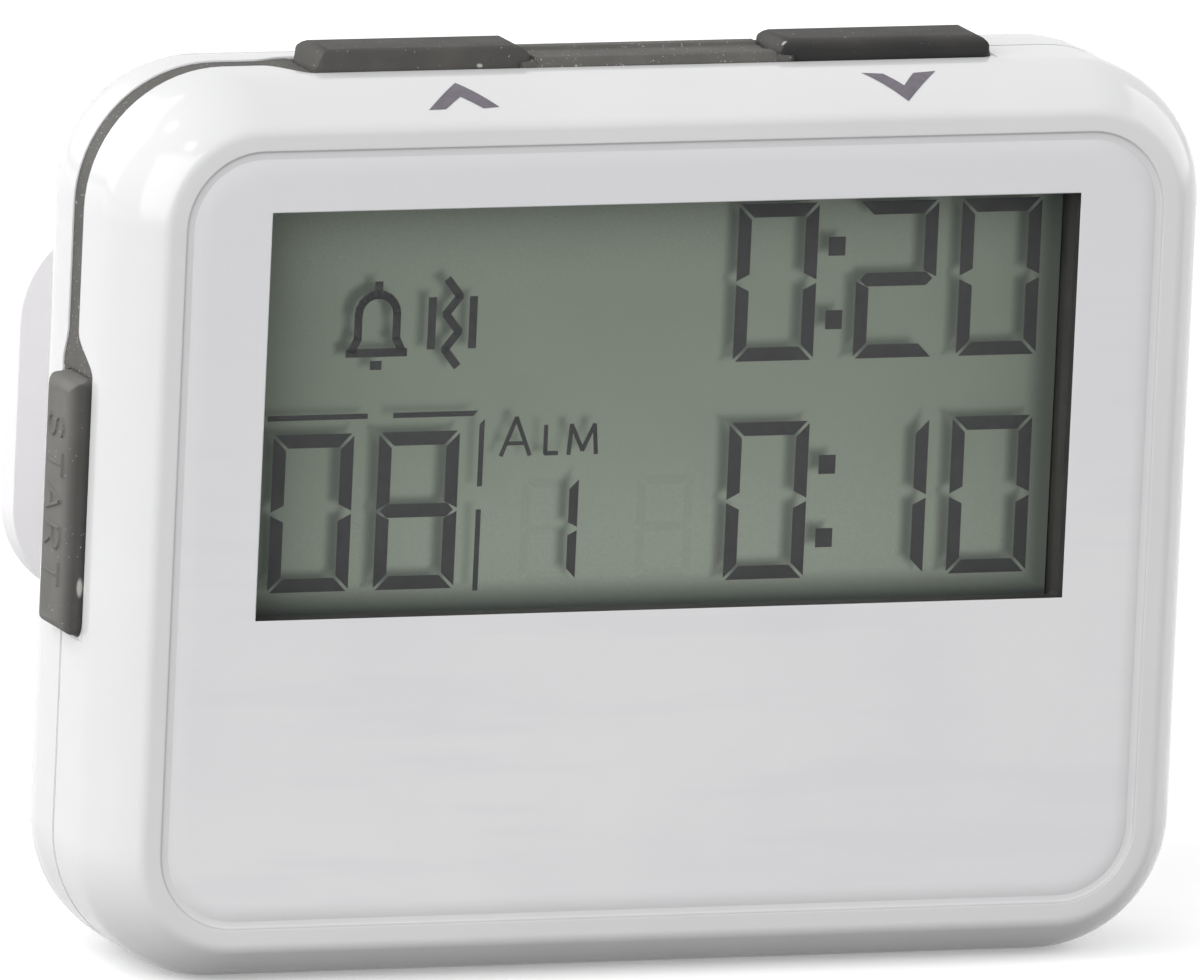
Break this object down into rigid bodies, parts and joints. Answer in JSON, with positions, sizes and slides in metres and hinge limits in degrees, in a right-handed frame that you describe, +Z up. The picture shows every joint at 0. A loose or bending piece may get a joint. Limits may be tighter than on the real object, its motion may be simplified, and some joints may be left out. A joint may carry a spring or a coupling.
{
  "type": "interval timer",
  "caption": "Pocket interval timer: white two-part case with a large liquid crystal display, grey rubber keys in the seam, a vibration motor and a sprung belt clip.",
  "frame": {"origin": "middle of the flat underside, on the plane where the two halves of the case meet", "axes": "+X to the right seen from the display, +Y from the display to the belt clip, +Z up"},
  "size_m": [0.058, 0.0224, 0.0457],
  "materials": {
    "white_plastic": "glossy moulded",
    "panel_plastic": "satin moulded",
    "clear_plastic": "clear",
    "dark_plastic": "matt",
    "display_glass": "grey-green",
    "reflector_foil": "satin",
    "contact_rubber": "matt",
    "board": "lacquered",
    "black_plastic": "matt",
    "steel": "bright",
    "ceramic": "fired",
    "grey_rubber": "matt",
    "cell_jacket": "printed film"
  },
  "bodies": {
    "case": {"front_shell": "white_plastic", "front_panel": "panel_plastic", "window_lens": "clear_plastic", "lcd_frame": "dark_plastic", "lcd_glass": "display_glass", "lcd_reflector": "reflector_foil", "zebra_strips": "contact_rubber", "circuit_board": "board", "controller_chip": "black_plastic", "crystal": "steel", "chip_capacitors": "ceramic", "switch_bodies": "dark_plastic", "key_strip": "grey_rubber", "buzzer": "black_plastic", "motor_cradle": "contact_rubber", "motor_can": "steel", "cell": "cell_jacket", "positive_contact": "steel", "negative_contact": "steel", "negative_spring": "steel", "rear_cover": "white_plastic", "clip_pin": "steel", "clip_spring": "steel", "case_screws": "steel", "board_screws": "steel"},
    "start_button": {"start_key": "grey_rubber", "start_plunger": "panel_plastic"},
    "up_button": {"up_key": "grey_rubber", "up_plunger": "panel_plastic"},
    "down_button": {"down_key": "grey_rubber", "down_plunger": "panel_plastic"},
    "motor_rotor": {"motor_shaft": "steel", "motor_weight": "steel"},
    "door": {"battery_door": "white_plastic"},
    "clip": {"clip_lever": "white_plastic"}
  },
  "joints": [
    {"name": "start_press", "type": "slide", "parent": "case", "child": "start_button", "axis": [1, 0, 0], "range_m": [0, 0.0006], "stiffness_N_per_m": 2500},
    {"name": "up_press", "type": "slide", "parent": "case", "child": "up_button", "axis": [0, 0, -1], "range_m": [0, 0.0006], "stiffness_N_per_m": 2500},
    {"name": "down_press", "type": "slide", "parent": "case", "child": "down_button", "axis": [0, 0, -1], "range_m": [0, 0.0006], "stiffness_N_per_m": 2500},
    {"name": "clip_open", "type": "hinge", "parent": "case", "child": "clip", "pos_m": [-0.01065, 0.0102, 0.0248], "axis": [0, 0, 1], "range_deg": [0, 13], "stiffness_Nm_per_rad": 0.3, "springref_deg": -22.92, "deforming": ["clip_spring"]},
    {"name": "door_slide", "type": "slide", "parent": "case", "child": "door", "axis": [0, 0, -1], "range_m": [0, 0.016]},
    {"name": "motor_spin", "type": "hinge", "parent": "case", "child": "motor_rotor", "pos_m": [0, 0.00235, 0.01985], "axis": [1, 0, 0], "continuous": true}
  ]
}
